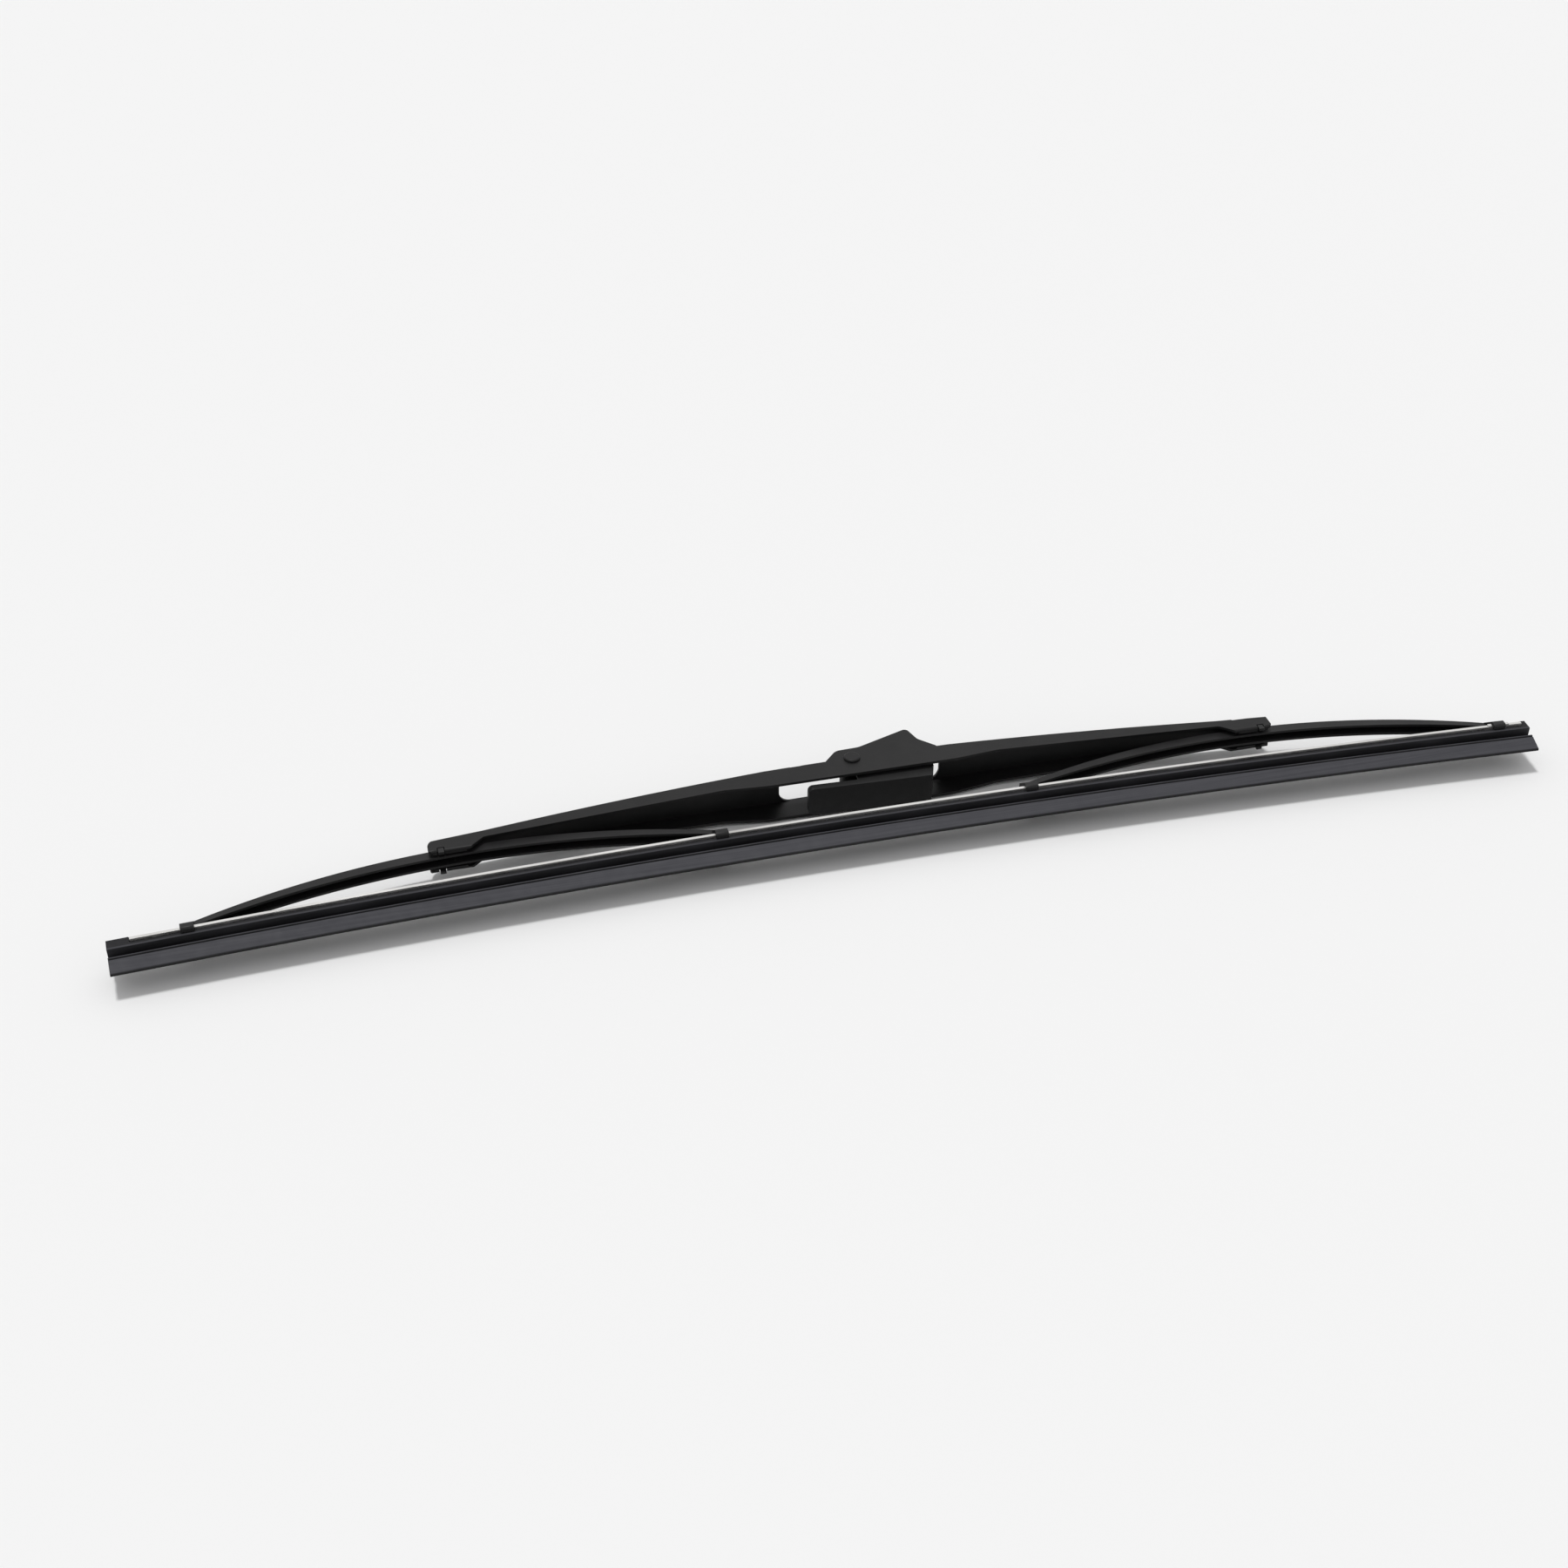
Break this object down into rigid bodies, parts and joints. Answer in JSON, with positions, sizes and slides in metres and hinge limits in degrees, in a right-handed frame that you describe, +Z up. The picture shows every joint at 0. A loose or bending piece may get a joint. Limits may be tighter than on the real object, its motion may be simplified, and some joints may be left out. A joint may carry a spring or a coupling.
{
  "type": "wiper blade",
  "caption": "Bracket-type wiper blade lying on its side: pressed-steel bridge with a hook adapter on an arm pin, rocking yokes with claws, and a bowed rubber squeegee on steel rails.",
  "frame": {"origin": "axis of the arm pin, on the blade's mid-plane", "axes": "+X along the blade, +Y from the wiping lip to the back of the bridge, +Z up along the arm pin, with the blade lying on its side"},
  "size_m": [0.3999, 0.0469, 0.0138],
  "materials": {
    "bridge_paint": "satin black paint on pressed steel",
    "yoke_paint": "satin black paint on pressed steel",
    "bush_plastic": "moulded, matte black",
    "pin_paint": "black-painted rivet head",
    "adapter_plastic": "moulded, matte black",
    "squeegee_rubber": "matte, powder-coated grey-black rubber",
    "rail_steel": "bare spring steel"
  },
  "bodies": {
    "frame": {"main_bridge": "bridge_paint", "left_pivot_bush": "bush_plastic", "right_pivot_bush": "bush_plastic", "arm_pin": "pin_paint", "squeegee": "squeegee_rubber", "upper_rail": "rail_steel", "lower_rail": "rail_steel"},
    "left_yoke": {"left_yoke": "yoke_paint"},
    "right_yoke": {"right_yoke": "yoke_paint"},
    "arm_adapter": {"arm_adapter": "adapter_plastic"}
  },
  "joints": [
    {"name": "left_yoke_rock", "type": "hinge", "parent": "frame", "child": "left_yoke", "pos_m": [-0.1132, -0.0091, 0], "axis": [0, 0, 1], "range_deg": [-6, 6], "stiffness_Nm_per_rad": 0.7, "deforming": ["squeegee", "upper_rail", "lower_rail"]},
    {"name": "right_yoke_rock", "type": "hinge", "parent": "frame", "child": "right_yoke", "pos_m": [0.1162, -0.0091, 0], "axis": [0, 0, 1], "range_deg": [-6, 6], "stiffness_Nm_per_rad": 0.7, "deforming": ["squeegee", "upper_rail", "lower_rail"]},
    {"name": "adapter_turn", "type": "hinge", "parent": "frame", "child": "arm_adapter", "pos_m": [0, 0, 0], "axis": [0, 0, 1], "range_deg": [-10, 80]}
  ]
}
